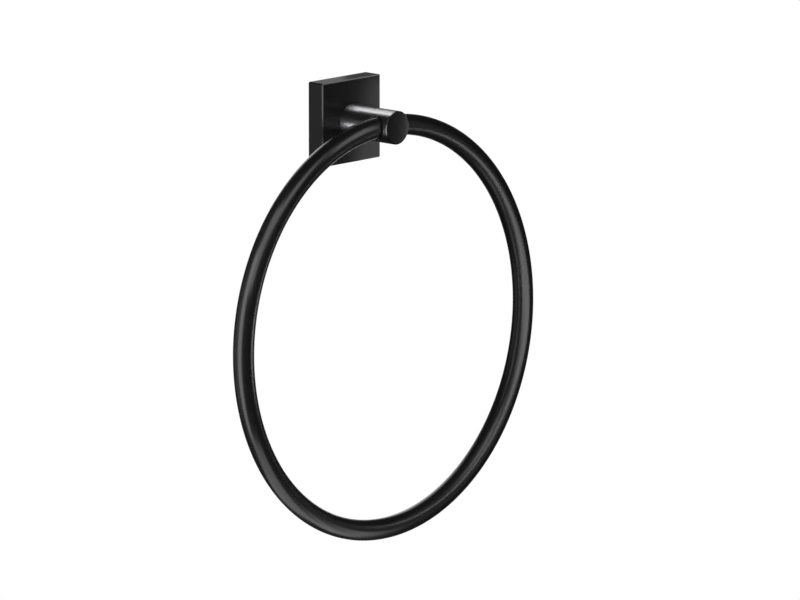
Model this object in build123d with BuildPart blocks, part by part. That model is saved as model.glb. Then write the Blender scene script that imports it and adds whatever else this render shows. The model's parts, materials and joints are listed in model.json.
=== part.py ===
"""Wall-mounted towel ring: a hollow square cover plate on a hidden bracket, a round post and a swinging ring.

The wall is the plane Y = 0 and the object stands out from it towards -Y. X runs along the wall and Z is up.
The origin is on the wall behind the middle of the cover plate. All sizes are in millimetres.
"""

from build123d import *
import math
import os

# Cover plate: a cast square box, open at the back
PLATE_SIDE = 40.0
PLATE_DEPTH = 9.0
PLATE_FACE_WALL = 2.0
PLATE_SIDE_WALL = 2.25
PLATE_CORNER_RADIUS = 0.8
PLATE_RIM_CHAMFER = 0.5
POCKET_CORNER_RADIUS = 1.5

# Post: a turned round bar that stands out from the middle of the plate
POST_DIAMETER = 16.0
POST_LENGTH = 30.0
POST_END_CHAMFER = 0.6

# Flatted spigot at the foot of the post, which keeps the post from turning in the plate
SPIGOT_DIAMETER = 9.0
SPIGOT_ACROSS_FLATS = 7.0
SPIGOT_CLEARANCE = 0.15
SPIGOT_SHORT_OF_FACE = 0.2

# Ring: one round bar bent into a circle, with its two ends sprung into sockets in the post
RING_OUTER_DIAMETER = 204.0
RING_BAR_DIAMETER = 10.0
RING_AXIS_FROM_POST_END = 8.0
RING_END_GAP = 0.5
SOCKET_CLEARANCE = 0.5
SOCKET_WEB = 4.0

# Screw and washer that hold the post to the plate from behind
POST_SCREW_DIAMETER = 5.0
POST_SCREW_LENGTH = 12.0
POST_SCREW_HEAD_DIAMETER = 9.0
POST_SCREW_HEAD_HEIGHT = 3.2
POST_SCREW_KEY = 3.0
POST_SCREW_KEY_DEPTH = 2.0
POST_SCREW_TAP_EXTRA = 2.5
POST_WASHER_DIAMETER = 13.0
POST_WASHER_THICKNESS = 1.2
THREAD_CLEARANCE = 0.1
WASHER_CLEARANCE = 0.2

# Wall bracket: a dovetail channel that is wider at the front than at the wall
BRACKET_DEPTH = 5.0
BRACKET_WEB = 2.5
BRACKET_RAIL = 4.0
BRACKET_RAIL_SLOPE = 1.0
BRACKET_BEVEL = 2.0
BRACKET_CORNER_RADIUS = 2.0
BRACKET_SIDE_GAP = 0.3
BRACKET_KEY_HOLE = 12.0
WALL_SCREW_SPACING = 22.5
WALL_SLOT_WIDTH = 4.5
WALL_SLOT_LENGTH = 6.5

# Hook rib inside the top of the plate, which hangs on the bracket's upper bevel
HOOK_RIB_HEIGHT = 3.0
HOOK_CLEARANCE = 0.05

# Grub screw in the underside of the plate, which presses on the bracket's lower bevel
GRUB_DIAMETER = 4.0
GRUB_FROM_WALL = 2.7
GRUB_RECESS = 0.4
GRUB_POINT_HEIGHT = 1.2
GRUB_POINT_DIAMETER = 1.2
GRUB_TIP_GAP = 0.05
GRUB_KEY = 2.0
GRUB_KEY_DEPTH = 1.8
GRUB_BOSS_WIDTH = 10.0
GRUB_BOSS_GAP = 0.4
GRUB_HOLE_CHAMFER = 0.3

# Places along the depth, each as a distance from the wall
pocket_depth = PLATE_DEPTH - PLATE_FACE_WALL
post_end = PLATE_DEPTH + POST_LENGTH
ring_axis_depth = post_end - RING_AXIS_FROM_POST_END
spigot_length = PLATE_FACE_WALL - SPIGOT_SHORT_OF_FACE
washer_back = pocket_depth - POST_WASHER_THICKNESS
screw_head_back = washer_back - POST_SCREW_HEAD_HEIGHT

# Sizes inside the plate
pocket_side = PLATE_SIDE - 2 * PLATE_SIDE_WALL
pocket_half = pocket_side / 2
bracket_width = pocket_side - 2 * BRACKET_SIDE_GAP
bracket_front_half = pocket_half - HOOK_RIB_HEIGHT - HOOK_CLEARANCE
bracket_back_half = bracket_front_half - BRACKET_BEVEL
bevel_rate = BRACKET_BEVEL / BRACKET_DEPTH
boss_top = -bracket_front_half - GRUB_BOSS_GAP
boss_height = boss_top + pocket_half

# The bar curves away from the pivot inside its sockets, so the pivot takes the middle of that curve
ring_radius = (RING_OUTER_DIAMETER - RING_BAR_DIAMETER) / 2
socket_radius = RING_BAR_DIAMETER / 2 + SOCKET_CLEARANCE
socket_depth = (POST_DIAMETER - SOCKET_WEB) / 2
ring_end_reach = SOCKET_WEB / 2 + RING_END_GAP
ring_end_angle = math.degrees(math.asin(ring_end_reach / ring_radius))
bar_sag_in_post = (POST_DIAMETER / 2) ** 2 / (2 * ring_radius)
ring_centre_height = bar_sag_in_post / 2 - ring_radius

os.makedirs("parts", exist_ok=True)


# Cover plate: square box with a chamfered rim, a pocket, a hook rib, a screw boss and a hole for the spigot
with BuildPart() as cover_plate:
    with BuildSketch(Plane.XZ):
        Rectangle(PLATE_SIDE, PLATE_SIDE)
    extrude(amount=PLATE_DEPTH)
    fillet(edges().filter_by(Axis.Y), PLATE_CORNER_RADIUS)
    chamfer(faces().sort_by(Axis.Y)[0].edges(), PLATE_RIM_CHAMFER)
    with BuildSketch(Plane.XZ):
        RectangleRounded(pocket_side, pocket_side, POCKET_CORNER_RADIUS)
    extrude(amount=pocket_depth, mode=Mode.SUBTRACT)
    with BuildSketch(Plane.YZ):
        with BuildLine():
            Polyline(
                (0, bracket_back_half + HOOK_CLEARANCE),
                (-BRACKET_DEPTH, bracket_front_half + HOOK_CLEARANCE),
                (-BRACKET_DEPTH, pocket_half),
                (0, pocket_half),
                close=True,
            )
        make_face()
    extrude(amount=pocket_half, both=True)
    with BuildSketch(Plane.XZ):
        with Locations((0, boss_top)):
            Rectangle(GRUB_BOSS_WIDTH, boss_height, align=(Align.CENTER, Align.MAX))
    extrude(amount=pocket_depth)
    with Locations((0, -GRUB_FROM_WALL, boss_top)):
        Hole(GRUB_DIAMETER / 2 + THREAD_CLEARANCE, depth=boss_height + PLATE_SIDE_WALL)
    grub_mouth = edges().filter_by(GeomType.CIRCLE).sort_by(Axis.Z)[0]
    chamfer(grub_mouth, GRUB_HOLE_CHAMFER)
    with BuildSketch(Plane.XZ.offset(pocket_depth)):
        Circle(SPIGOT_DIAMETER / 2 + SPIGOT_CLEARANCE)
        Rectangle(SPIGOT_DIAMETER * 2, SPIGOT_ACROSS_FLATS + 2 * SPIGOT_CLEARANCE, mode=Mode.INTERSECT)
    extrude(amount=PLATE_FACE_WALL, mode=Mode.SUBTRACT)

# Post: turned bar with a chamfered end, a flatted spigot, a tapped hole and two blind sockets for the ring
with BuildPart() as post:
    with BuildSketch(Plane.XZ.offset(PLATE_DEPTH)):
        Circle(POST_DIAMETER / 2)
    extrude(amount=POST_LENGTH)
    chamfer(faces().sort_by(Axis.Y)[0].edges(), POST_END_CHAMFER)
    with BuildSketch(Plane.XZ.offset(PLATE_DEPTH)):
        Circle(SPIGOT_DIAMETER / 2)
        Rectangle(SPIGOT_DIAMETER * 2, SPIGOT_ACROSS_FLATS, mode=Mode.INTERSECT)
    extrude(amount=-spigot_length)
    spigot_face = Plane((0, spigot_length - PLATE_DEPTH, 0), x_dir=(1, 0, 0), z_dir=(0, 1, 0))
    with Locations(spigot_face):
        Hole(
            POST_SCREW_DIAMETER / 2 + THREAD_CLEARANCE,
            depth=POST_SCREW_LENGTH + POST_SCREW_TAP_EXTRA,
        )
    for side in (-1, 1):
        socket_mouth = (side * POST_DIAMETER / 2, -ring_axis_depth, 0)
        with Locations(Plane(socket_mouth, x_dir=(0, 0, 1), z_dir=(side, 0, 0))):
            Hole(socket_radius, depth=socket_depth)

# Ring: round bar bent to a circle, with a short break that the post hides
ring_centre = (0, -ring_axis_depth, ring_centre_height)
bend_axis = Axis(ring_centre, (0, 1, 0))
bar_end = Plane(ring_centre, x_dir=(0, 0, 1), z_dir=(1, 0, 0)).rotated((0, ring_end_angle, 0))
with BuildPart() as ring:
    with BuildSketch(bar_end):
        with Locations((ring_radius, 0)):
            Circle(RING_BAR_DIAMETER / 2)
    revolve(axis=bend_axis, revolution_arc=360 - 2 * ring_end_angle)

# Post screw: low round head with a hexagon key socket, threaded into the foot of the post
with BuildPart() as post_screw:
    with BuildSketch(Plane.XZ.offset(screw_head_back)):
        Circle(POST_SCREW_HEAD_DIAMETER / 2)
    extrude(amount=POST_SCREW_HEAD_HEIGHT)
    with BuildSketch(Plane.XZ.offset(washer_back)):
        Circle(POST_SCREW_DIAMETER / 2)
    extrude(amount=POST_SCREW_LENGTH)
    with BuildSketch(Plane.XZ.offset(screw_head_back)):
        RegularPolygon(POST_SCREW_KEY / 2, 6, major_radius=False)
    extrude(amount=POST_SCREW_KEY_DEPTH, mode=Mode.SUBTRACT)

# Post washer: flat ring that spreads the load on the inside of the plate's face
with BuildPart() as post_washer:
    with BuildSketch(Plane.XZ.offset(washer_back)):
        Circle(POST_WASHER_DIAMETER / 2)
        Circle(POST_SCREW_DIAMETER / 2 + WASHER_CLEARANCE, mode=Mode.SUBTRACT)
    extrude(amount=POST_WASHER_THICKNESS)

# Wall bracket: dovetail channel with rounded corners, two wall-screw slots and a hole for the screw head
with BuildPart() as wall_bracket:
    with BuildSketch(Plane.YZ):
        with BuildLine():
            Polyline(
                (0, bracket_back_half),
                (-BRACKET_DEPTH, bracket_front_half),
                (-BRACKET_DEPTH, bracket_front_half - BRACKET_RAIL),
                (-BRACKET_WEB, bracket_front_half - BRACKET_RAIL - BRACKET_RAIL_SLOPE),
                (-BRACKET_WEB, 0),
                (0, 0),
                close=True,
            )
        make_face()
        mirror(about=Plane.XZ)
    extrude(amount=bracket_width / 2, both=True)
    with BuildSketch(Plane.XZ):
        RectangleRounded(bracket_width, 2 * bracket_front_half, BRACKET_CORNER_RADIUS)
    extrude(amount=BRACKET_DEPTH, mode=Mode.INTERSECT)
    with BuildSketch(Plane.XZ):
        Circle(BRACKET_KEY_HOLE / 2)
        with Locations((-WALL_SCREW_SPACING / 2, 0), (WALL_SCREW_SPACING / 2, 0)):
            SlotOverall(WALL_SLOT_LENGTH, WALL_SLOT_WIDTH)
    extrude(amount=BRACKET_WEB, mode=Mode.SUBTRACT)

# Grub screw: headless, with a blunt point on the bevel and a key socket below
grub_bottom = GRUB_RECESS - PLATE_SIDE / 2
grub_point_reach = bracket_back_half + (GRUB_FROM_WALL + GRUB_POINT_DIAMETER / 2) * bevel_rate
grub_tip = -grub_point_reach - GRUB_TIP_GAP
grub_shoulder = grub_tip - GRUB_POINT_HEIGHT
grub_base = Plane((0, -GRUB_FROM_WALL, grub_bottom))
grub_shank = grub_shoulder - grub_bottom
grub_length = grub_tip - grub_bottom
with BuildPart() as grub_screw:
    with BuildSketch(grub_base):
        Circle(GRUB_DIAMETER / 2)
    extrude(amount=grub_shank)
    with BuildSketch(grub_base.offset(grub_shank)):
        Circle(GRUB_DIAMETER / 2)
    with BuildSketch(grub_base.offset(grub_length)):
        Circle(GRUB_POINT_DIAMETER / 2)
    loft()
    with BuildSketch(grub_base):
        RegularPolygon(GRUB_KEY / 2, 6, major_radius=False)
    extrude(amount=GRUB_KEY_DEPTH, mode=Mode.SUBTRACT)

cover_plate.part.label = "cover_plate"
post.part.label = "post"
ring.part.label = "ring"
post_screw.part.label = "post_screw"
post_washer.part.label = "post_washer"
wall_bracket.part.label = "wall_bracket"
grub_screw.part.label = "grub_screw"

export_step(cover_plate.part, "parts/cover_plate.step")
export_step(post.part, "parts/post.step")
export_step(ring.part, "parts/ring.step")
export_step(post_screw.part, "parts/post_screw.step")
export_step(post_washer.part, "parts/post_washer.step")
export_step(wall_bracket.part, "parts/wall_bracket.step")
export_step(grub_screw.part, "parts/grub_screw.step")
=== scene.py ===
"""Towel ring in a plain studio: a square cover plate, a turned post and a swinging bar ring, all in black.

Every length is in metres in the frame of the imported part: the wall is the plane Y = 0, the object stands out
towards -Y, X runs along the wall and Z is up.
"""

import json
import logging
import math
from dataclasses import dataclass, replace
from enum import Enum

import bmesh
import bpy
import numpy as np
from bpy.types import Material, Mesh, Node, NodeSocket, NodeTree, Object
from mathutils import Matrix, Vector


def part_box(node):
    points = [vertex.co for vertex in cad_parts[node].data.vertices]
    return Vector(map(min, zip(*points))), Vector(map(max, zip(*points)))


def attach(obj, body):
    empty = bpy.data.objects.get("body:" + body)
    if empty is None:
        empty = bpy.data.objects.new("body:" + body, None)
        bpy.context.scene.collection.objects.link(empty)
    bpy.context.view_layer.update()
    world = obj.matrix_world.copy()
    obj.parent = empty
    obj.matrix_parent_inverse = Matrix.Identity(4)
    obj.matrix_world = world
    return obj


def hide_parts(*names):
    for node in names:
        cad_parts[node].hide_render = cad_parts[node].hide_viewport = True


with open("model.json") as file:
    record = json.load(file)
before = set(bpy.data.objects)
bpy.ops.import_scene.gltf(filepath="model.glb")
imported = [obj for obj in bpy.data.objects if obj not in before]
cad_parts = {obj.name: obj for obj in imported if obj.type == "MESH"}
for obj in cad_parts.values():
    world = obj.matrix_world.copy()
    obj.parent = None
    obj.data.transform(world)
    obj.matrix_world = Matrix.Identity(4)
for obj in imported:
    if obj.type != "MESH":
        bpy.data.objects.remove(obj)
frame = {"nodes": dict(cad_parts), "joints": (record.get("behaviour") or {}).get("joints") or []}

log = logging.getLogger("towel_ring")

MM = 0.001
IMAGE_WIDTH = 800
IMAGE_HEIGHT = 600
WELD_DISTANCE = 2e-6
FLAT_ANGLE = 0.5
LEAST_SINE = 1e-6
QUARTER_TURN = 0.25
MIX_FIRST, MIX_SECOND, MIX_RESULT = 6, 7, 2  # Places of the colours of a Mix node
Colour = tuple[float, float, float]
Point = tuple[float, float, float]


class Body(Enum):
    """The two rigid bodies that the pieces ride on."""

    WALL_MOUNT = "wall_mount"
    SWINGING_RING = "swinging_ring"


class Slot(Enum):
    """The record's material slots."""

    PLATE = "plate_coat"
    POST = "post_coat"
    RING = "ring_coat"
    FASTENER = "fastener_steel"
    BRACKET = "bracket_metal"


class Grain(Enum):
    """The skin of a finish: plain, or with rings left by turning about the post's axis."""

    PLAIN = "coat_skin"
    TURNED = "turned_skin"


@dataclass
class Surface:
    """Vertices and faces of one or more grids that together close a piece.

    Attributes:
        points: vertex places, one row of three numbers each.
        quads: four vertex numbers for each face.
        finish: number of the finish that each face takes.
    """

    points: np.ndarray
    quads: np.ndarray
    finish: np.ndarray

    @classmethod
    def from_grid(cls, grid: np.ndarray, finish: int = 0) -> "Surface":
        """Makes quads between neighbouring rows and columns of a grid whose last column joins the first.

        Args:
            grid: points in rows and columns, of shape (rows, columns, 3).
            finish: number of the finish that its faces take.

        Returns:
            The grid as a surface.
        """
        rows, columns = grid.shape[:2]
        number = np.arange(rows * columns).reshape(rows, columns)
        beside = np.roll(number, -1, axis=1)
        quads = np.stack([number[:-1], beside[:-1], beside[1:], number[1:]], axis=-1).reshape(-1, 4)
        return cls(grid.reshape(-1, 3), quads, np.full(len(quads), finish))

    def joined(self, other: "Surface") -> "Surface":
        """Returns this surface and another as one, with the other's vertex numbers moved up."""
        return Surface(
            np.concatenate([self.points, other.points]),
            np.concatenate([self.quads, other.quads + len(self.points)]),
            np.concatenate([self.finish, other.finish]),
        )

    def mesh(self, name: str, sharp_angle: float) -> Mesh:
        """Builds a closed mesh: equal points become one, which closes seams and poles, and faces point out.

        Args:
            name: name of the mesh.
            sharp_angle: least bend of a sharp edge, in degrees.

        Returns:
            The finished mesh.
        """
        mesh = bpy.data.meshes.new(name)
        mesh.from_pydata(self.points.tolist(), [], self.quads.tolist())
        mesh.polygons.foreach_set("material_index", self.finish.astype(np.int32))
        work = bmesh.new()
        work.from_mesh(mesh)
        bmesh.ops.remove_doubles(work, verts=work.verts, dist=WELD_DISTANCE)
        bmesh.ops.dissolve_degenerate(work, edges=work.edges, dist=WELD_DISTANCE)
        bmesh.ops.recalc_face_normals(work, faces=work.faces)
        work.to_mesh(mesh)
        work.free()
        smooth_mesh(mesh, sharp_angle)
        return mesh


def smooth_mesh(mesh: Mesh, sharp_angle: float) -> None:
    """Shades a mesh smooth, except across edges that bend by more than an angle in degrees."""
    mesh.shade_smooth()
    mesh.set_sharp_from_angle(angle=math.radians(sharp_angle))


def softened(corners: np.ndarray, radius: float, steps: int) -> np.ndarray:
    """Rounds the inner corners of a polyline.

    Each corner becomes a quadratic curve that starts and ends at one radius along its two runs, or at half
    the shorter run, with the corner itself as the control point.

    Args:
        corners: points of the polyline, one row each.
        radius: distance from each corner at which the rounding starts.
        steps: number of spans on each rounding.

    Returns:
        The points of the rounded polyline.
    """
    before, corner, after = corners[:-2], corners[1:-1], corners[2:]
    reach_in = np.linalg.norm(before - corner, axis=1, keepdims=True)
    reach_out = np.linalg.norm(after - corner, axis=1, keepdims=True)
    reach = np.minimum(radius, 0.5 * np.minimum(reach_in, reach_out))
    start = corner + (before - corner) * reach / reach_in
    end = corner + (after - corner) * reach / reach_out
    t = np.linspace(0.0, 1.0, steps + 1)[None, :, None]
    curve = (1 - t) ** 2 * start[:, None] + 2 * t * (1 - t) * corner[:, None] + t**2 * end[:, None]
    return np.concatenate([corners[:1], curve.reshape(-1, corners.shape[1]), corners[-1:]])


def circle_outline(radius: float, angle: np.ndarray) -> np.ndarray:
    """Returns the radius of a circle at each angle."""
    return np.full_like(angle, radius)


def hexagon_outline(across_flats: float, angle: np.ndarray) -> np.ndarray:
    """Returns a hexagon's radius: half its width over the cosine of the angle from the nearest flat."""
    from_flat = np.mod(angle, math.pi / 3) - math.pi / 6
    return across_flats / 2 / np.cos(from_flat)


def flatted_outline(radius: float, across_flats: float, angle: np.ndarray) -> np.ndarray:
    """Returns the radius of a circle cut by two level flats: the smaller of the circle's and the flats'."""
    distance = across_flats / 2 / np.maximum(np.abs(np.sin(angle)), LEAST_SINE)
    return np.minimum(radius, distance)


@dataclass(frozen=True)
class TurningAxis:
    """An axis with two directions square to it, on which stacked outlines are set.

    Attributes:
        origin: a point on the axis.
        along: direction of the axis.
        first: direction of angle zero.
        second: direction of a quarter turn.
    """

    origin: Point
    along: Point
    first: Point
    second: Point

    def stack(self, radius: np.ndarray, height: np.ndarray, angle: np.ndarray) -> np.ndarray:
        """Places outlines along the axis.

        A point is the origin plus its height along the axis plus its radius times the cosine and the sine of
        its angle in the first and second directions.

        Args:
            radius: radius of each point, of shape (rows, columns).
            height: height of each row, of shape (rows,).
            angle: angle of each column, of shape (columns,).

        Returns:
            A grid of points of shape (rows, columns, 3).
        """
        along, first, second = (np.array(v) for v in (self.along, self.first, self.second))
        spoke = np.cos(angle)[:, None] * first + np.sin(angle)[:, None] * second
        return np.array(self.origin) + height[:, None, None] * along + radius[:, :, None] * spoke[None]


POST_AXIS = TurningAxis((0, 0, 0), (0, 1, 0), (1, 0, 0), (0, 0, 1))


def full_turn(columns: int) -> np.ndarray:
    """Returns angles evenly spaced over one turn, without the last, which is the first again."""
    return np.arange(columns) * (2 * math.pi / columns)


def new_piece(name: str, mesh: Mesh, body: Body, node: str) -> Object:
    """Adds a mesh as a piece that rides on a body and stands for a node of the frame.

    Args:
        name: name of the piece.
        mesh: its mesh, already in place.
        body: the body that it moves with.
        node: the node that it stands for.

    Returns:
        The new object.
    """
    piece = bpy.data.objects.new(name, mesh)
    bpy.context.scene.collection.objects.link(piece)
    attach(piece, body.value)
    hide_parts(node)
    log.info("%s: %d faces, stands for %s, rides on %s", name, len(mesh.polygons), node, body.value)
    return piece


def merged_copy(node: str, name: str, sharp_angle: float) -> Mesh:
    """Copies a node's mesh with its loose triangles merged and its flat faces joined.

    Args:
        node: name of the node.
        name: name of the new mesh.
        sharp_angle: least bend of a sharp edge, in degrees.

    Returns:
        The copied mesh.
    """
    mesh = frame["nodes"][node].data.copy()
    mesh.name = name
    mesh.materials.clear()
    given = mesh.attributes.get("custom_normal")
    if given is not None:
        mesh.attributes.remove(given)
    work = bmesh.new()
    work.from_mesh(mesh)
    bmesh.ops.remove_doubles(work, verts=work.verts, dist=WELD_DISTANCE)
    bmesh.ops.dissolve_limit(work, angle_limit=math.radians(FLAT_ANGLE), verts=work.verts, edges=work.edges)
    work.to_mesh(mesh)
    work.free()
    smooth_mesh(mesh, sharp_angle)
    return mesh


def add_node(tree: NodeTree, kind: str, **settings: object) -> Node:
    """Adds a shader node and sets its properties."""
    node = tree.nodes.new("ShaderNode" + kind)
    for key, value in settings.items():
        setattr(node, key, value)
    return node


def feed(tree: NodeTree, socket: NodeSocket, value: object) -> None:
    """Links a socket to an output, or sets it to a number."""
    if isinstance(value, NodeSocket):
        tree.links.new(value, socket)
    else:
        socket.default_value = value


def add_math(tree: NodeTree, operation: str, *values: object) -> NodeSocket:
    """Adds a Math node and feeds it numbers or sockets.

    Args:
        tree: the tree that takes the node.
        operation: name of the operation.
        values: a number or a socket for each input, in order.

    Returns:
        The node's output.
    """
    node = add_node(tree, "Math", operation=operation)
    for socket, value in zip(node.inputs, values):
        feed(tree, socket, value)
    return node.outputs[0]


def add_noise(tree: NodeTree, vector: NodeSocket, scale: object, detail: float) -> NodeSocket:
    """Adds a Noise texture on a vector, with a number or a socket as its scale, and returns its value."""
    noise = add_node(tree, "TexNoise")
    for name, value in (("Vector", vector), ("Scale", scale), ("Detail", detail)):
        feed(tree, noise.inputs[name], value)
    return noise.outputs[0]


def add_range(
    tree: NodeTree, value: NodeSocket, source: tuple[float, float], low: object, high: object
) -> NodeSocket:
    """Maps a value from a source range to a range between two numbers or sockets, clamped.

    Args:
        tree: the tree that takes the node.
        value: the value to map.
        source: lowest and highest value of the source.
        low: result at the lowest value.
        high: result at the highest value.

    Returns:
        The mapped value.
    """
    node = add_node(tree, "MapRange")
    limits = {"Value": value, "From Min": source[0], "From Max": source[1], "To Min": low, "To Max": high}
    for name, limit in limits.items():
        feed(tree, node.inputs[name], limit)
    return node.outputs[0]


@dataclass(frozen=True)
class Skin:
    """The mottling and fine relief that the finishes share, built as node groups.

    Attributes:
        peel_detail: octaves of the orange peel.
        speck_detail: octaves of the specks.
        specks_per_peel: waves of specks in each wave of peel.
        speck_range: noise over which the colour goes from dark to light.
        speck_height: height of the specks where the peel's is 1.
        cloud_detail: octaves of the wide cloud.
        cloud_scale: waves of the cloud in each metre.
        cloud_share: share of the cloud in the roughness, of which the rest is the peel's.
        patch_range: noise over which the roughness goes from smoothest to roughest.
        ring_detail: octaves of the turned rings.
        ring_scale: waves of the rings in each metre.
        ring_range: noise over which a ring's wear goes from none to full.
        ring_wear: roughness that a fully worn ring adds.
        under_rings: share of the peel's height that is left under turned rings.
    """

    peel_detail: float = 2.0
    speck_detail: float = 1.0
    specks_per_peel: float = 4.5
    speck_range: tuple[float, float] = (0.35, 0.7)
    speck_height: float = 0.35
    cloud_detail: float = 3.0
    cloud_scale: float = 38.0
    cloud_share: float = 0.7
    patch_range: tuple[float, float] = (0.36, 0.64)
    ring_detail: float = 2.0
    ring_scale: float = 3000.0
    ring_range: tuple[float, float] = (0.3, 0.7)
    ring_wear: float = 0.05
    under_rings: float = 0.2

    def rings(self, tree: NodeTree, place: NodeSocket) -> NodeSocket:
        """Adds the rings that a lathe tool leaves.

        Noise reads only the distance from the post's axis and the place along it, so that its marks run round
        the side and lie as circles on the flat ends.

        Args:
            tree: the group that takes the nodes.
            place: the place on the piece.

        Returns:
            The rings' height.
        """
        apart = add_node(tree, "SeparateXYZ")
        tree.links.new(place, apart.inputs[0])
        across = add_math(tree, "MULTIPLY", apart.outputs["X"], apart.outputs["X"])
        upright = add_math(tree, "MULTIPLY", apart.outputs["Z"], apart.outputs["Z"])
        section = add_node(tree, "CombineXYZ")
        distance = add_math(tree, "SQRT", add_math(tree, "ADD", across, upright))
        tree.links.new(distance, section.inputs["X"])
        tree.links.new(apart.outputs["Y"], section.inputs["Y"])
        return add_noise(tree, section.outputs[0], self.ring_scale, self.ring_detail)

    def group(self, grain: Grain) -> NodeTree:
        """Builds a skin as a node group.

        Fine and coarse noise add up to the height of its orange peel. A wide cloud varies the roughness, and
        the finest noise sprinkles the colour between its dark and its light value. Turned rings lie over what
        is left of the peel and add their wear to the roughness.

        Args:
            grain: the kind of skin.

        Returns:
            The group, with Colour, Roughness and Height as outputs.
        """
        tree = bpy.data.node_groups.new(grain.value, "ShaderNodeTree")
        sockets = [(name, "INPUT", "Color") for name in ("Dark", "Light")]
        sockets += [(name, "INPUT", "Float") for name in ("Smoothest", "Roughest", "Peel Scale")]
        sockets += [("Colour", "OUTPUT", "Color")]
        sockets += [(name, "OUTPUT", "Float") for name in ("Roughness", "Height")]
        for name, in_out, kind in sockets:
            tree.interface.new_socket(name=name, in_out=in_out, socket_type="NodeSocket" + kind)
        given = tree.nodes.new("NodeGroupInput").outputs
        place = add_node(tree, "TexCoord").outputs["Object"]
        peel = add_noise(tree, place, given["Peel Scale"], self.peel_detail)
        speck_scale = add_math(tree, "MULTIPLY", given["Peel Scale"], self.specks_per_peel)
        speck = add_noise(tree, place, speck_scale, self.speck_detail)
        cloud = add_noise(tree, place, self.cloud_scale, self.cloud_detail)
        mixer = add_node(tree, "Mix", data_type="RGBA")
        tree.links.new(add_range(tree, speck, self.speck_range, 0.0, 1.0), mixer.inputs["Factor"])
        tree.links.new(given["Dark"], mixer.inputs[MIX_FIRST])
        tree.links.new(given["Light"], mixer.inputs[MIX_SECOND])
        cloudy = add_math(tree, "MULTIPLY", cloud, self.cloud_share)
        peeled = add_math(tree, "MULTIPLY", peel, 1 - self.cloud_share)
        patchy = add_math(tree, "ADD", cloudy, peeled)
        rough = add_range(tree, patchy, self.patch_range, given["Smoothest"], given["Roughest"])
        height = add_math(tree, "ADD", peel, add_math(tree, "MULTIPLY", speck, self.speck_height))
        if grain is Grain.TURNED:
            rings = self.rings(tree, place)
            rough = add_math(tree, "ADD", rough, add_range(tree, rings, self.ring_range, 0.0, self.ring_wear))
            height = add_math(tree, "ADD", rings, add_math(tree, "MULTIPLY", height, self.under_rings))
        results = tree.nodes.new("NodeGroupOutput").inputs
        tree.links.new(mixer.outputs[MIX_RESULT], results["Colour"])
        tree.links.new(rough, results["Roughness"])
        tree.links.new(height, results["Height"])
        return tree


@dataclass(frozen=True)
class Finish:
    """What coats and metals share: two colours, a range of roughness and a fine relief, all from a skin.

    Attributes:
        name: name of the material.
        dark: colour between the specks.
        light: colour of the specks.
        roughness: smoothest and roughest patch.
        peel_scale: waves of the relief in each metre.
        relief: depth of the relief.
    """

    name: str
    dark: Colour
    light: Colour
    roughness: tuple[float, float]
    peel_scale: float
    relief: float

    def skinned(self, grain: Grain) -> Material:
        """Builds a material whose colour, roughness and bump come from a skin's node group.

        Args:
            grain: the kind of skin.

        Returns:
            The new material.
        """
        material = bpy.data.materials.new(self.name)
        material.use_nodes = True
        tree = material.node_tree
        shader = tree.nodes["Principled BSDF"]
        skin = add_node(tree, "Group", node_tree=bpy.data.node_groups[grain.value])
        given = ((*self.dark, 1), (*self.light, 1), *self.roughness, self.peel_scale)
        for socket, value in zip(skin.inputs, given):  # In the order of the skin's inputs
            socket.default_value = value
        bump = add_node(tree, "Bump")
        bump.inputs["Strength"].default_value = 1.0
        bump.inputs["Distance"].default_value = self.relief
        tree.links.new(skin.outputs["Colour"], shader.inputs["Base Color"])
        tree.links.new(skin.outputs["Roughness"], shader.inputs["Roughness"])
        tree.links.new(skin.outputs["Height"], bump.inputs["Height"])
        tree.links.new(bump.outputs[0], shader.inputs["Normal"])
        return material


@dataclass(frozen=True)
class CoatFinish(Finish):
    """A black coat with a plain skin."""

    def material(self) -> Material:
        """Builds the coat's material."""
        return self.skinned(Grain.PLAIN)


@dataclass(frozen=True)
class MetalFinish(Finish):
    """A metal surface.

    Attributes:
        grain: marks left by how it was made.
        stretch: how far turned marks draw its highlights out along the post's axis.
    """

    grain: Grain
    stretch: float = 0.0

    def material(self) -> Material:
        """Builds the metal's material."""
        material = self.skinned(self.grain)
        tree = material.node_tree
        shader = tree.nodes["Principled BSDF"]
        shader.inputs["Metallic"].default_value = 1.0
        if self.stretch > 0:
            shader.inputs["Anisotropic"].default_value = self.stretch
            shader.inputs["Anisotropic Rotation"].default_value = QUARTER_TURN
            round_axis = add_node(tree, "Tangent", direction_type="RADIAL", axis="Y")
            tree.links.new(round_axis.outputs[0], shader.inputs["Tangent"])
        return material


PLATE_COAT = CoatFinish(
    name="plate_black_coat",
    dark=(0.005, 0.005, 0.0055),
    light=(0.01, 0.01, 0.011),
    roughness=(0.24, 0.26),
    peel_scale=1100.0,
    relief=6e-7,
)
POST_END = CoatFinish(
    name="post_end_coat",
    dark=(0.006, 0.006, 0.0065),
    light=(0.011, 0.011, 0.012),
    roughness=(0.198, 0.212),
    peel_scale=1300.0,
    relief=3e-7,
)
RING_COAT = replace(PLATE_COAT, name="ring_black_coat", roughness=(0.284, 0.297), relief=8e-8)
FASTENER_STEEL = MetalFinish(
    name="fastener_stainless",
    dark=(0.46, 0.46, 0.47),
    light=(0.62, 0.62, 0.63),
    roughness=(0.22, 0.36),
    peel_scale=2200.0,
    relief=8e-6,
    grain=Grain.TURNED,
)
BRACKET_METAL = MetalFinish(
    name="bracket_cast_metal",
    dark=(0.36, 0.36, 0.37),
    light=(0.52, 0.52, 0.53),
    roughness=(0.42, 0.6),
    peel_scale=1500.0,
    relief=3e-5,
    grain=Grain.PLAIN,
)
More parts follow.
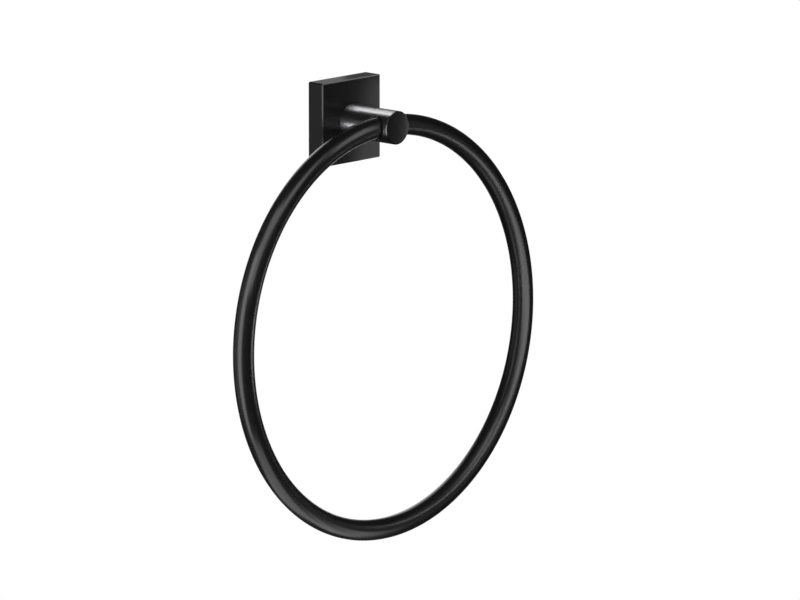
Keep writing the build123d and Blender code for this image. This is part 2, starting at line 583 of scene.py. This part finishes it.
POST_SIDE = MetalFinish(
    name="post_turned_satin",
    dark=(0.26, 0.26, 0.265),
    light=(0.34, 0.34, 0.35),
    roughness=(0.31, 0.35),
    peel_scale=1300.0,
    relief=2.5e-7,
    grain=Grain.TURNED,
    stretch=0.85,
)
# Painted shade: a darker copy of the post's turned satin for its front chamfer, which dims the highlight line
# on that edge.
POST_RIM_PAINTED_SHADE = replace(POST_SIDE, name="post_rim_painted_shade_satin", dark=(0.13, 0.13, 0.132), light=(0.17, 0.17, 0.174))


@dataclass
class RingAssembly:
    """The swinging ring: one round bar bent to a circle whose two ends sit in the post's sockets.

    Attributes:
        centre: middle of the circle.
        bend_radius: radius of the bar's centre line.
        bar_radius: radius of the bar.
        end_reach: distance of each bar end from the middle of the post.
        end_rounding: rounding of the cut ends.
        end_spans: spans on that rounding.
        columns: points round the bar.
        rows: points along the bar.
        sharp_angle: least bend of a sharp edge, in degrees.
    """

    centre: np.ndarray
    bend_radius: float
    bar_radius: float
    end_reach: float = 2.5 * MM
    end_rounding: float = 0.5 * MM
    end_spans: int = 6
    columns: int = 88
    rows: int = 640
    sharp_angle: float = 40.0

    @classmethod
    def from_frame(cls) -> "RingAssembly":
        """Reads the ring's sizes from its node's box: the depth is the bar, the width the outside circle."""
        low, high = (np.array(corner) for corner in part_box("ring"))
        bar_radius = (high[1] - low[1]) / 2
        outside = (high[0] - low[0]) / 2
        centre = np.array([0.0, (high[1] + low[1]) / 2, low[2] + outside])
        return cls(centre, outside - bar_radius, bar_radius)

    def grid(self) -> np.ndarray:
        """Carries a circle of varying radius along the bent bar.

        The centre line is an arc that starts and ends beside the top of the circle. At each end the circle
        grows from a point to the bar's radius, first over the flat cut and then round its softened edge. A
        point is the ring's centre plus bend radius plus the circle's cosine outwards, and its sine along Y.

        Returns:
            A grid of points of shape (rows, columns, 3).
        """
        cut = np.array([[0.0, 0.0], [0.0, self.bar_radius], [2 * self.end_rounding, self.bar_radius]])
        end = softened(cut, self.end_rounding, self.end_spans)
        first = math.asin(self.end_reach / self.bend_radius)
        sweep = 2 * (math.pi - first)
        length = sweep * self.bend_radius
        middle = np.linspace(end[-1, 0], length - end[-1, 0], self.rows)[1:-1]
        travel = np.concatenate([end[:, 0], middle, length - end[::-1, 0]])
        radius = np.concatenate([end[:, 1], np.full(len(middle), self.bar_radius), end[::-1, 1]])
        bend = first + travel / self.bend_radius
        turn = full_turn(self.columns)
        outwards = self.bend_radius + radius[:, None] * np.cos(turn)
        x, z = outwards * np.sin(bend)[:, None], outwards * np.cos(bend)[:, None]
        return self.centre + np.stack([x, radius[:, None] * np.sin(turn), z], axis=-1)

    def build(self) -> Object:
        """Builds the ring's bar and dresses it."""
        mesh = Surface.from_grid(self.grid()).mesh("ring_bar", self.sharp_angle)
        mesh.materials.append(RING_COAT.material())
        return new_piece("ring_bar", mesh, Body.SWINGING_RING, "ring")


@dataclass
class PostAssembly:
    """The turned post, with its chamfered end, two blind sockets for the ring and a flatted spigot behind.

    Attributes:
        radius: radius of the post.
        foot: Y of the shoulder that sits on the plate.
        tip: Y of the front end.
        spigot_end: Y of the spigot's back.
        socket_y: Y of the sockets' axis.
        socket_radius: radius of each socket.
        web: distance of each socket's floor from the middle of the post.
        chamfer: chamfer of the front end.
        crown: rise of the front end's middle over its rim.
        mouth_rounding: rounding of the sockets' mouths.
        spigot_radius: radius of the spigot.
        spigot_flats: width across its flats.
        tap_radius: radius of the tapped hole.
        tap_depth: depth of the tapped hole.
        columns_across: columns over each half of the skin.
        columns_along: columns along the skin.
        skin_rows: rows from the skin's outline to a socket's mouth.
        skin_crowding: power that crowds those rows towards the mouth.
        lip_spans: spans on the mouth's rounding.
        wall_spans: spans on a socket's wall.
        floor_spans: spans on a socket's floor.
        face_rows: rows from the rim of the front end to its middle.
        sharp_angle: least bend of a sharp edge, in degrees.
    """

    radius: float
    foot: float
    tip: float
    spigot_end: float
    socket_y: float
    socket_radius: float = 5.5 * MM
    web: float = 2.0 * MM
    chamfer: float = 0.6 * MM
    crown: float = 0.2 * MM
    mouth_rounding: float = 0.3 * MM
    spigot_radius: float = 4.5 * MM
    spigot_flats: float = 7.0 * MM
    tap_radius: float = 2.6 * MM
    tap_depth: float = 14.5 * MM
    columns_across: int = 80
    columns_along: int = 44
    skin_rows: int = 15
    skin_crowding: float = 1.4
    lip_spans: int = 5
    wall_spans: int = 6
    floor_spans: int = 3
    face_rows: int = 13
    sharp_angle: float = 35.0

    @classmethod
    def from_frame(cls) -> "PostAssembly":
        """Reads the post's sizes from its node's box, the plate's face and the ring's joint."""
        low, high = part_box("post")
        plate_low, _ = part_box("cover_plate")
        return cls(high.x, plate_low.y, low.y, high.y, frame["joints"][0]["pos_m"][1])

    def socket_side(self, side: int) -> np.ndarray:
        """Makes one half of the post's skin with a socket in it, as one grid round the socket's axis.

        The columns are the points of the half skin's outline, evenly spaced on each of its four sides. Each
        column runs straight over the unrolled skin from the outline to the socket's mouth, turns into the
        socket on a quadratic curve, follows its wall to the floor and ends at the floor's middle. A skin
        point is the post's radius times the cosine and the sine of its angle from the socket's axis.

        Args:
            side: 1 for the socket towards +X, -1 for the other.

        Returns:
            A grid of points of shape (rows, columns, 3).
        """
        edge = self.tip + self.chamfer
        across = np.linspace(math.pi / 2, -math.pi / 2, self.columns_across + 1)
        along = np.linspace(self.foot, edge, self.columns_along + 1)
        side_angle = np.full(self.columns_along, math.pi / 2)
        rim_angle = np.concatenate([side_angle, across[:-1], -side_angle, across[:0:-1]])
        end_row = np.ones(self.columns_across)
        rim_y = np.concatenate([along[:-1], end_row * edge, along[:0:-1], end_row * self.foot])
        turn = np.arctan2(self.radius * rim_angle, rim_y - self.socket_y)

        def on_skin(angle: np.ndarray, y: np.ndarray) -> np.ndarray:
            """Returns the skin's points at angles from the socket's axis and places along the post."""
            cosine, sine = np.cos(angle), np.sin(angle)
            return np.stack([side * self.radius * cosine, y, self.radius * sine], axis=-1)

        def mouth(size: float) -> tuple[np.ndarray, np.ndarray]:
            """Returns the angle and Y where a tube of that size about the socket's axis meets the skin."""
            return np.arcsin(size * np.sin(turn) / self.radius), self.socket_y + size * np.cos(turn)

        wide_angle, wide_y = mouth(self.socket_radius + self.mouth_rounding)
        share = (np.linspace(1.0, 0.0, self.skin_rows) ** self.skin_crowding)[:, None]
        skin = on_skin(share * rim_angle + (1 - share) * wide_angle, share * rim_y + (1 - share) * wide_y)
        lip = on_skin(*mouth(self.socket_radius))
        inner = lip - np.array([side * self.mouth_rounding, 0.0, 0.0])
        t = np.linspace(0.0, 1.0, self.lip_spans + 1)[1:, None, None]
        rounding = (1 - t) ** 2 * skin[-1] + 2 * t * (1 - t) * lip + t**2 * inner
        floor = inner.copy()
        floor[:, 0] = side * self.web
        deep = np.linspace(0.0, 1.0, self.wall_spans + 1)[1:, None, None]
        wall = (1 - deep) * inner + deep * floor
        middle = np.array([side * self.web, self.socket_y, 0.0])
        shrink = np.linspace(1.0, 0.0, self.floor_spans + 1)[1:, None, None]
        return np.concatenate([skin, rounding, wall, middle + shrink * (floor - middle)])

    def front_and_back(self) -> tuple[np.ndarray, np.ndarray]:
        """Makes the chamfered front end and the foot with its spigot and tapped hole as stacked outlines.

        Both use the angles at which the two half skins end, so their rims meet the skin point for point.

        Returns:
            The front grid and the back grid.
        """
        angle = full_turn(2 * self.columns_across) - math.pi / 2
        face = self.radius - self.chamfer + self.crown
        edge = self.tip + self.chamfer
        rim = self.tip + self.crown
        inward = np.linspace(1.0, 0.0, self.face_rows)
        radius = np.concatenate([[self.radius], inward * face])
        height = np.concatenate([[edge], rim - self.crown * (1 - inward**2)])
        front = POST_AXIS.stack(radius[:, None] * np.ones_like(angle), height, angle)
        spigot = flatted_outline(self.spigot_radius, self.spigot_flats, angle)
        tap = circle_outline(self.tap_radius, angle)
        outlines = np.stack([circle_outline(self.radius, angle), spigot, spigot, tap, tap, 0 * tap])
        tap_end = self.spigot_end - self.tap_depth
        steps = np.array([self.foot, self.foot, self.spigot_end, self.spigot_end, tap_end, tap_end])
        return front, POST_AXIS.stack(outlines, steps, angle)

    def build(self) -> Object:
        """Builds the post as one closed skin and dresses it."""
        front, back = self.front_and_back()
        # The front chamfer row takes the darker copy of the satin, painted shade that dims its highlight line.
        finishes = (POST_SIDE, POST_END, POST_RIM_PAINTED_SHADE)
        skin = Surface.from_grid(self.socket_side(1)).joined(Surface.from_grid(self.socket_side(-1)))
        for grid, finish in ((front[1:], POST_END), (back, POST_END), (front[:2], POST_RIM_PAINTED_SHADE)):
            skin = skin.joined(Surface.from_grid(grid, finishes.index(finish)))
        mesh = skin.mesh("post_bar", self.sharp_angle)
        for finish in finishes:
            mesh.materials.append(finish.material())
        return new_piece("post_bar", mesh, Body.WALL_MOUNT, "post")


@dataclass
class ScrewShape:
    """A socket screw: an optional head, a threaded shank and a hexagon key socket.

    Attributes:
        axis: where the screw stands; heights run from its driven end towards its tip.
        head_radius: radius of the head, or of the shank where there is none.
        head_height: height of the head, or zero.
        shank_radius: radius of the thread's crests.
        length: length of the shank.
        tip_radius: radius of the flat tip.
        tip_height: height of the tapered tip.
        key: width across the key socket's flats.
        key_depth: depth of the key socket.
        pitch: distance between the thread's turns.
        thread_depth: depth of the thread as a share of its pitch.
        edge_break: width of the broken edge at the driven end.
        columns: points round the screw.
        rows_per_turn: points along each turn of the thread.
        sharp_angle: least bend of a sharp edge, in degrees.
    """

    axis: TurningAxis
    head_radius: float
    head_height: float
    shank_radius: float
    length: float
    tip_radius: float
    tip_height: float
    key: float
    key_depth: float
    pitch: float
    thread_depth: float = 0.6
    edge_break: float = 0.25 * MM
    columns: int = 48
    rows_per_turn: int = 10
    sharp_angle: float = 40.0

    def grid(self) -> np.ndarray:
        """Stacks the screw's outlines from the floor of its key socket to its tip.

        The thread is a wave along the shank whose phase turns once for each turn of the angle. It fades out
        over one pitch at both ends.

        Returns:
            A grid of points of shape (rows, columns, 3).
        """
        angle = full_turn(self.columns)
        key = hexagon_outline(self.key, angle)
        rim = circle_outline(self.head_radius - self.edge_break, angle)
        head = circle_outline(self.head_radius, angle)
        top = [0 * key, key, key, rim, head]
        top_height = [self.key_depth, self.key_depth, 0.0, 0.0, self.edge_break]
        if self.head_height > 0:
            top += [head, circle_outline(self.shank_radius, angle)]
            top_height += [self.head_height, self.head_height]
        start = max(self.head_height, self.edge_break)
        end = self.head_height + self.length - self.tip_height
        turns = int(math.ceil((end - start) / self.pitch))
        height = np.linspace(start, end, turns * self.rows_per_turn + 1)
        phase = height[:, None] / self.pitch - angle / (2 * math.pi)
        wave = 0.5 - 0.5 * np.cos(2 * math.pi * phase)
        fade = np.clip(np.minimum(height - start, end - height) / self.pitch, 0.0, 1.0)
        thread = self.shank_radius - self.thread_depth * self.pitch * fade[:, None] * wave
        tip = [circle_outline(self.tip_radius, angle), 0 * key]
        radius = np.concatenate([np.stack(top), thread, np.stack(tip)])
        heights = np.concatenate([top_height, height, [end + self.tip_height] * 2])
        return self.axis.stack(radius, heights, angle)

    def build(self, name: str, node: str, material: Material) -> Object:
        """Builds the screw, which stands for a node of the wall mount, and dresses it."""
        mesh = Surface.from_grid(self.grid()).mesh(name, self.sharp_angle)
        mesh.materials.append(material)
        return new_piece(name, mesh, Body.WALL_MOUNT, node)


@dataclass
class FixingAssembly:
    """The hidden fixing: the wall bracket, the screw and washer behind the post, and the grub screw below.

    Attributes:
        bore: radius of the washer's hole.
        washer_rounding: rounding of the washer's edges.
        washer_spans: spans on each rounding.
        washer_columns: points round the washer.
        washer_sharp_angle: least bend of the washer's sharp edges, in degrees.
        bracket_sharp_angle: the same for the bracket's edges.
    """

    bore: float = 2.7 * MM
    washer_rounding: float = 0.2 * MM
    washer_spans: int = 3
    washer_columns: int = 96
    washer_sharp_angle: float = 50.0
    bracket_sharp_angle: float = 30.0

    def washer(self, material: Material) -> Object:
        """Carries a rectangle with rounded corners round the post's axis to make the washer."""
        low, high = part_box("post_washer")
        inside, outside = self.bore, high.x
        middle = (low.y + high.y) / 2
        seam = [inside, middle]
        outer = [[outside, low.y], [outside, high.y]]
        corners = np.array([seam, [inside, low.y], *outer, [inside, high.y], seam])
        profile = softened(corners, self.washer_rounding, self.washer_spans)
        angle = full_turn(self.washer_columns)
        grid = POST_AXIS.stack(profile[:, :1] * np.ones_like(angle), profile[:, 1], angle)
        mesh = Surface.from_grid(grid).mesh("post_washer_ring", self.washer_sharp_angle)
        mesh.materials.append(material)
        return new_piece("post_washer_ring", mesh, Body.WALL_MOUNT, "post_washer")

    def post_screw(self, material: Material) -> Object:
        """Builds the screw that holds the post to the plate, driven from the wall side."""
        low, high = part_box("post_screw")
        _, washer_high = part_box("post_washer")
        shape = ScrewShape(
            axis=TurningAxis((0, high.y, 0), (0, -1, 0), (1, 0, 0), (0, 0, 1)),
            head_radius=high.x,
            head_height=high.y - washer_high.y,
            shank_radius=2.5 * MM,
            length=washer_high.y - low.y,
            tip_radius=1.9 * MM,
            tip_height=0.6 * MM,
            key=3.0 * MM,
            key_depth=2.0 * MM,
            pitch=0.8 * MM,
        )
        return shape.build("post_screw_threaded", "post_screw", material)

    def grub_screw(self, material: Material) -> Object:
        """Builds the headless screw that locks the plate on the bracket, driven from below."""
        low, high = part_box("grub_screw")
        centre_y = (low.y + high.y) / 2
        shape = ScrewShape(
            axis=TurningAxis((0, centre_y, low.z), (0, 0, 1), (1, 0, 0), (0, -1, 0)),
            head_radius=high.x,
            head_height=0.0,
            shank_radius=high.x,
            length=high.z - low.z,
            tip_radius=0.6 * MM,
            tip_height=1.2 * MM,
            key=2.0 * MM,
            key_depth=1.8 * MM,
            pitch=0.7 * MM,
        )
        return shape.build("grub_screw_threaded", "grub_screw", material)

    def bracket(self, material: Material) -> Object:
        """Dresses a merged copy of the wall bracket."""
        mesh = merged_copy("wall_bracket", "bracket_casting", self.bracket_sharp_angle)
        mesh.materials.append(material)
        return new_piece("bracket_casting", mesh, Body.WALL_MOUNT, "wall_bracket")

    def build(self) -> list[Object]:
        """Builds the four hidden pieces and returns them."""
        steel = FASTENER_STEEL.material()
        return [
            self.bracket(BRACKET_METAL.material()),
            self.washer(steel),
            self.post_screw(steel),
            self.grub_screw(steel),
        ]


@dataclass
class PlateAssembly:
    """The square cover plate.

    Attributes:
        sharp_angle: least bend of a sharp edge, in degrees.
    """

    sharp_angle: float = 25.0

    def build(self) -> Object:
        """Dresses a merged copy of the cover plate."""
        mesh = merged_copy("cover_plate", "plate_shell", self.sharp_angle)
        mesh.materials.append(PLATE_COAT.material())
        return new_piece("plate_shell", mesh, Body.WALL_MOUNT, "cover_plate")


@dataclass(frozen=True)
class SoftBox:
    """A plain lamp with a rectangular face.

    Attributes:
        name: name of the lamp.
        centre: where it hangs.
        aim: the point that it faces.
        width: width of its face, level.
        height: height of its face.
        radiance: brightness of its face, where 1 is white.
        pieces: names of the pieces that it lights, or none for all.
    """

    name: str
    centre: Point
    aim: Point
    width: float
    height: float
    radiance: float
    pieces: tuple[str, ...] = ()

    def build(self) -> Object:
        """Hangs the lamp, facing its aim, and limits it to its pieces."""
        data = bpy.data.lights.new(self.name, "AREA")
        data.shape = "RECTANGLE"
        data.size = self.width
        data.size_y = self.height
        data.energy = self.radiance * math.pi * self.width * self.height
        lamp = bpy.data.objects.new(self.name, data)
        lamp.visible_camera = False
        back = (Vector(self.centre) - Vector(self.aim)).normalized()
        turn = back.to_track_quat("Z", "Y").to_matrix().to_4x4()
        lamp.matrix_world = Matrix.Translation(self.centre) @ turn
        bpy.context.scene.collection.objects.link(lamp)
        if self.pieces:
            lit = bpy.data.collections.new(self.name + "_lights")
            for piece in self.pieces:
                lit.objects.link(bpy.data.objects[piece])
            lamp.light_linking.receiver_collection = lit
        log.info("lamp %s at radiance %.1f", self.name, self.radiance)
        return lamp


PLATE = ("plate_shell",)
POST = ("post_bar",)
MOUNT = PLATE + POST
RING = ("ring_bar",)
FIXING = ("bracket_casting", "post_washer_ring", "post_screw_threaded", "grub_screw_threaded")
POST_MIDDLE = (0.0, -0.03, 0.0)
POST_FACE = (0.0, -0.039, 0.0)


def camera_rays(tree: NodeTree, path: Node) -> NodeSocket:
    """Adds a switch that is 1 for rays that the camera sees, also through clear things, and 0 for others."""
    return add_math(tree, "MAXIMUM", path.outputs["Is Camera Ray"], path.outputs["Is Transmission Ray"])


@dataclass(frozen=True)
class Studio:
    """The floor, the surround, the lamps and the camera.

    Attributes:
        floor_drop: distance of the floor below the ring.
        floor_size: length of the floor's sides.
        floor_tone: share of the light that the floor gives back.
        shown_level: brightness of the background to the camera, where 1 is white.
        mirrored_level: brightness of the room in reflections.
        backdrop_level: brightness of the backdrop in reflections.
        backdrop_direction: direction from the object to the middle of the backdrop.
        backdrop_cosines: cosines of the angles from that middle at which the backdrop ends and is full.
        fill_level: brightness of the surround as a light on the object.
        azimuth: degrees that the camera stands to the left of the plate's own direction.
        elevation: degrees that it stands above the plate.
        distance: distance of the camera from the origin along its own direction.
        origin_pixel: pixel of the photograph at which the origin shows.
        pixels_per_metre: scale of the photograph at the origin.
        sensor_width: width of the camera's sensor in millimetres.
        sight: distance up to which the camera sees.
        lamps: the soft boxes and cards.
    """

    floor_drop: float = 1.0
    floor_size: float = 80.0
    floor_tone: float = 0.85
    shown_level: float = 1.0
    mirrored_level: float = 0.015
    backdrop_level: float = 0.12
    backdrop_direction: Point = (0.73, 0.67, -0.15)
    backdrop_cosines: tuple[float, float] = (0.75, 0.97)
    fill_level: float = 0.3
    azimuth: float = 47.1
    elevation: float = 10.9
    distance: float = 4.0
    origin_pixel: tuple[float, float] = (337.8, 118.5)
    pixels_per_metre: float = 2110.2
    sensor_width: float = 36.0
    sight: float = 200.0
    lamps: tuple[SoftBox, ...] = (
        SoftBox("overhead_box", (0.42, -0.45, 0.8), POST_MIDDLE, 1.6, 0.7, 1.8, PLATE),
        SoftBox("top_box", (0.15, 0.22, 0.95), POST_MIDDLE, 0.6, 0.6, 7.2, MOUNT),
        SoftBox("front_box", (-1.05, -1.06, -0.3), POST_MIDDLE, 0.8, 1.4, 3.0, MOUNT),
        SoftBox("side_box", (-0.75, 0.12, -0.2), POST_MIDDLE, 0.35, 0.24, 10.0, POST),
        SoftBox("edge_box", (0.55, 0.6, 0.55), POST_MIDDLE, 0.4, 0.4, 1.0, POST),
        SoftBox("right_card", (0.041, -0.02, -0.016), (0.01, -0.009, 0.0), 0.036, 0.062, 0.9, PLATE),
        SoftBox("back_card", (0.056, 0.076, 0.04), (-0.03, -0.0045, 0.02), 0.04, 0.04, 0.3, MOUNT),
        SoftBox("disc_card", (0.174, -0.108, -0.03), POST_FACE, 0.07, 0.1, 4.2, POST),
        SoftBox("rim_box", (-0.27, -0.47, 0.27), POST_FACE, 0.32, 0.36, 0.35, POST),
        SoftBox("wall_box", (-0.15, -1.0, 0.1), POST_MIDDLE, 0.5, 0.5, 1.5, PLATE),
        SoftBox("left_card", (-0.72, 0.64, -0.17), POST_MIDDLE, 0.7, 0.9, 0.33),
        SoftBox("fixing_box", (-0.25, 0.9, 0.35), (0.0, 0.0, 0.0), 0.9, 0.9, 1.6, FIXING),
        SoftBox("rear_box", (0.8, 1.2, 0.5), (0.0, -0.03, -0.09), 0.9, 0.9, 1.6, RING + FIXING),
        SoftBox("fringe_box", (1.3, 1.2, -0.35), (-0.03, -0.031, -0.03), 1.0, 1.0, 1.3, RING),
        SoftBox("crown_box", (-0.146, -0.587, 0.508), (-0.05, -0.031, -0.02), 0.576, 0.335, 2.54, RING),
        SoftBox("band_box", (-0.001, -0.071, 0.02), (-0.03, -0.031, -0.005), 0.035, 0.03, 2.07, RING),
        SoftBox("left_box", (-0.113, -0.051, -0.02), (-0.08, -0.031, -0.045), 0.031, 0.076, 2.16, RING),
        SoftBox("left_strip", (-0.142, -0.033, -0.107), (-0.098, -0.031, -0.11), 0.031, 0.199, 3.26, RING),
        SoftBox("right_box", (0.068, -0.129, -0.121), (0.092, -0.031, -0.08), 0.171, 0.025, 4.75, RING),
        SoftBox("under_box", (-0.088, -0.045, -0.205), (-0.07, -0.031, -0.165), 0.071, 0.089, 1.68, RING),
        SoftBox("floor_card", (0.031, -0.079, -0.254), (0.0, -0.031, -0.19), 0.032, 0.108, 1.78, RING),
        SoftBox("inner_card", (-0.016, -0.073, -0.242), (-0.03, -0.031, -0.005), 0.025, 0.081, 1.78, RING),
        SoftBox("corner_box", (0.159, -0.174, -0.151), (0.06, -0.031, -0.17), 0.025, 0.5, 0.57, RING),
    )

    def level(self, tree: NodeTree) -> NodeSocket:
        """Adds the surround's brightness for each kind of ray: shown, mirrored or lighting the object.

        Mirrored rays meet a dim room with the pale backdrop behind the object.

        Args:
            tree: the tree of the world's shader.

        Returns:
            The brightness.
        """
        path = add_node(tree, "LightPath")
        raised = add_math(tree, "MULTIPLY", camera_rays(tree, path), self.shown_level - self.fill_level)
        facing = add_node(tree, "VectorMath", operation="DOT_PRODUCT")
        tree.links.new(add_node(tree, "TexCoord").outputs["Generated"], facing.inputs[0])
        facing.inputs[1].default_value = self.backdrop_direction
        cosine = facing.outputs["Value"]
        room = add_range(tree, cosine, self.backdrop_cosines, self.mirrored_level, self.backdrop_level)
        lowered = add_math(tree, "SUBTRACT", room, self.fill_level)
        mirrored = add_math(tree, "MULTIPLY", path.outputs["Is Glossy Ray"], lowered)
        return add_math(tree, "ADD", add_math(tree, "ADD", raised, mirrored), self.fill_level)

    def surround(self) -> None:
        """Makes the world the surround, white to the camera and dim to what mirrors it."""
        world = bpy.data.worlds.new("studio_surround")
        world.use_nodes = True
        bpy.context.scene.world = world
        background = world.node_tree.nodes["Background"]
        background.inputs["Color"].default_value = (1, 1, 1, 1)
        world.node_tree.links.new(self.level(world.node_tree), background.inputs["Strength"])

    def floor(self) -> Object:
        """Lays a floor that is plain white to the camera, pale to other light and hidden from mirrors."""
        half = self.floor_size / 2
        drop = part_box("ring")[0].z - self.floor_drop
        corners = [(-half, -half, drop), (half, -half, drop), (half, half, drop), (-half, half, drop)]
        mesh = bpy.data.meshes.new("studio_floor")
        mesh.from_pydata(corners, [], [(0, 1, 2, 3)])
        material = bpy.data.materials.new("studio_floor_white")
        material.use_nodes = True
        tree = material.node_tree
        tree.nodes.remove(tree.nodes["Principled BSDF"])
        paint = add_node(tree, "BsdfDiffuse")
        paint.inputs["Color"].default_value = (self.floor_tone, self.floor_tone, self.floor_tone, 1)
        glow = add_node(tree, "Emission")
        glow.inputs["Strength"].default_value = self.shown_level
        mixer = add_node(tree, "MixShader")
        tree.links.new(camera_rays(tree, add_node(tree, "LightPath")), mixer.inputs[0])
        tree.links.new(paint.outputs[0], mixer.inputs[1])
        tree.links.new(glow.outputs[0], mixer.inputs[2])
        tree.links.new(mixer.outputs[0], tree.nodes["Material Output"].inputs["Surface"])
        mesh.materials.append(material)
        floor = bpy.data.objects.new("studio_floor", mesh)
        bpy.context.scene.collection.objects.link(floor)
        floor.visible_glossy = False
        return floor

    def camera(self) -> Object:
        """Stands the camera where the photograph was taken, with the origin at its pixel and no shift."""
        azimuth, elevation = math.radians(self.azimuth), math.radians(self.elevation)
        level = math.cos(elevation)
        back = Vector((-math.sin(azimuth) * level, -math.cos(azimuth) * level, math.sin(elevation)))
        right = Vector((math.cos(azimuth), -math.sin(azimuth), 0.0))
        up = back.cross(right)
        aside = (IMAGE_WIDTH / 2 - self.origin_pixel[0]) / self.pixels_per_metre
        above = (self.origin_pixel[1] - IMAGE_HEIGHT / 2) / self.pixels_per_metre
        place = self.distance * back + aside * right + above * up
        data = bpy.data.cameras.new("photo_camera")
        data.sensor_width = self.sensor_width
        data.lens = self.pixels_per_metre * self.distance / IMAGE_WIDTH * self.sensor_width
        data.clip_end = self.sight
        camera = bpy.data.objects.new("photo_camera", data)
        turn = Matrix((right, up, back)).transposed().to_4x4()
        camera.matrix_world = Matrix.Translation(place) @ turn
        bpy.context.scene.collection.objects.link(camera)
        bpy.context.scene.camera = camera
        return camera

    def build(self) -> None:
        """Builds the whole studio round the object."""
        bpy.context.scene.view_settings.view_transform = "Standard"
        self.surround()
        self.floor()
        for lamp in self.lamps:
            lamp.build()
        self.camera()


def main() -> None:
    """Builds the object's pieces in order, then the studio."""
    logging.basicConfig(level=logging.INFO, format="%(message)s")
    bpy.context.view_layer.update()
    for grain in Grain:
        Skin().group(grain)
    PlateAssembly().build()
    PostAssembly.from_frame().build()
    RingAssembly.from_frame().build()
    FixingAssembly().build()
    Studio().build()


if __name__ == "__main__":
    main()
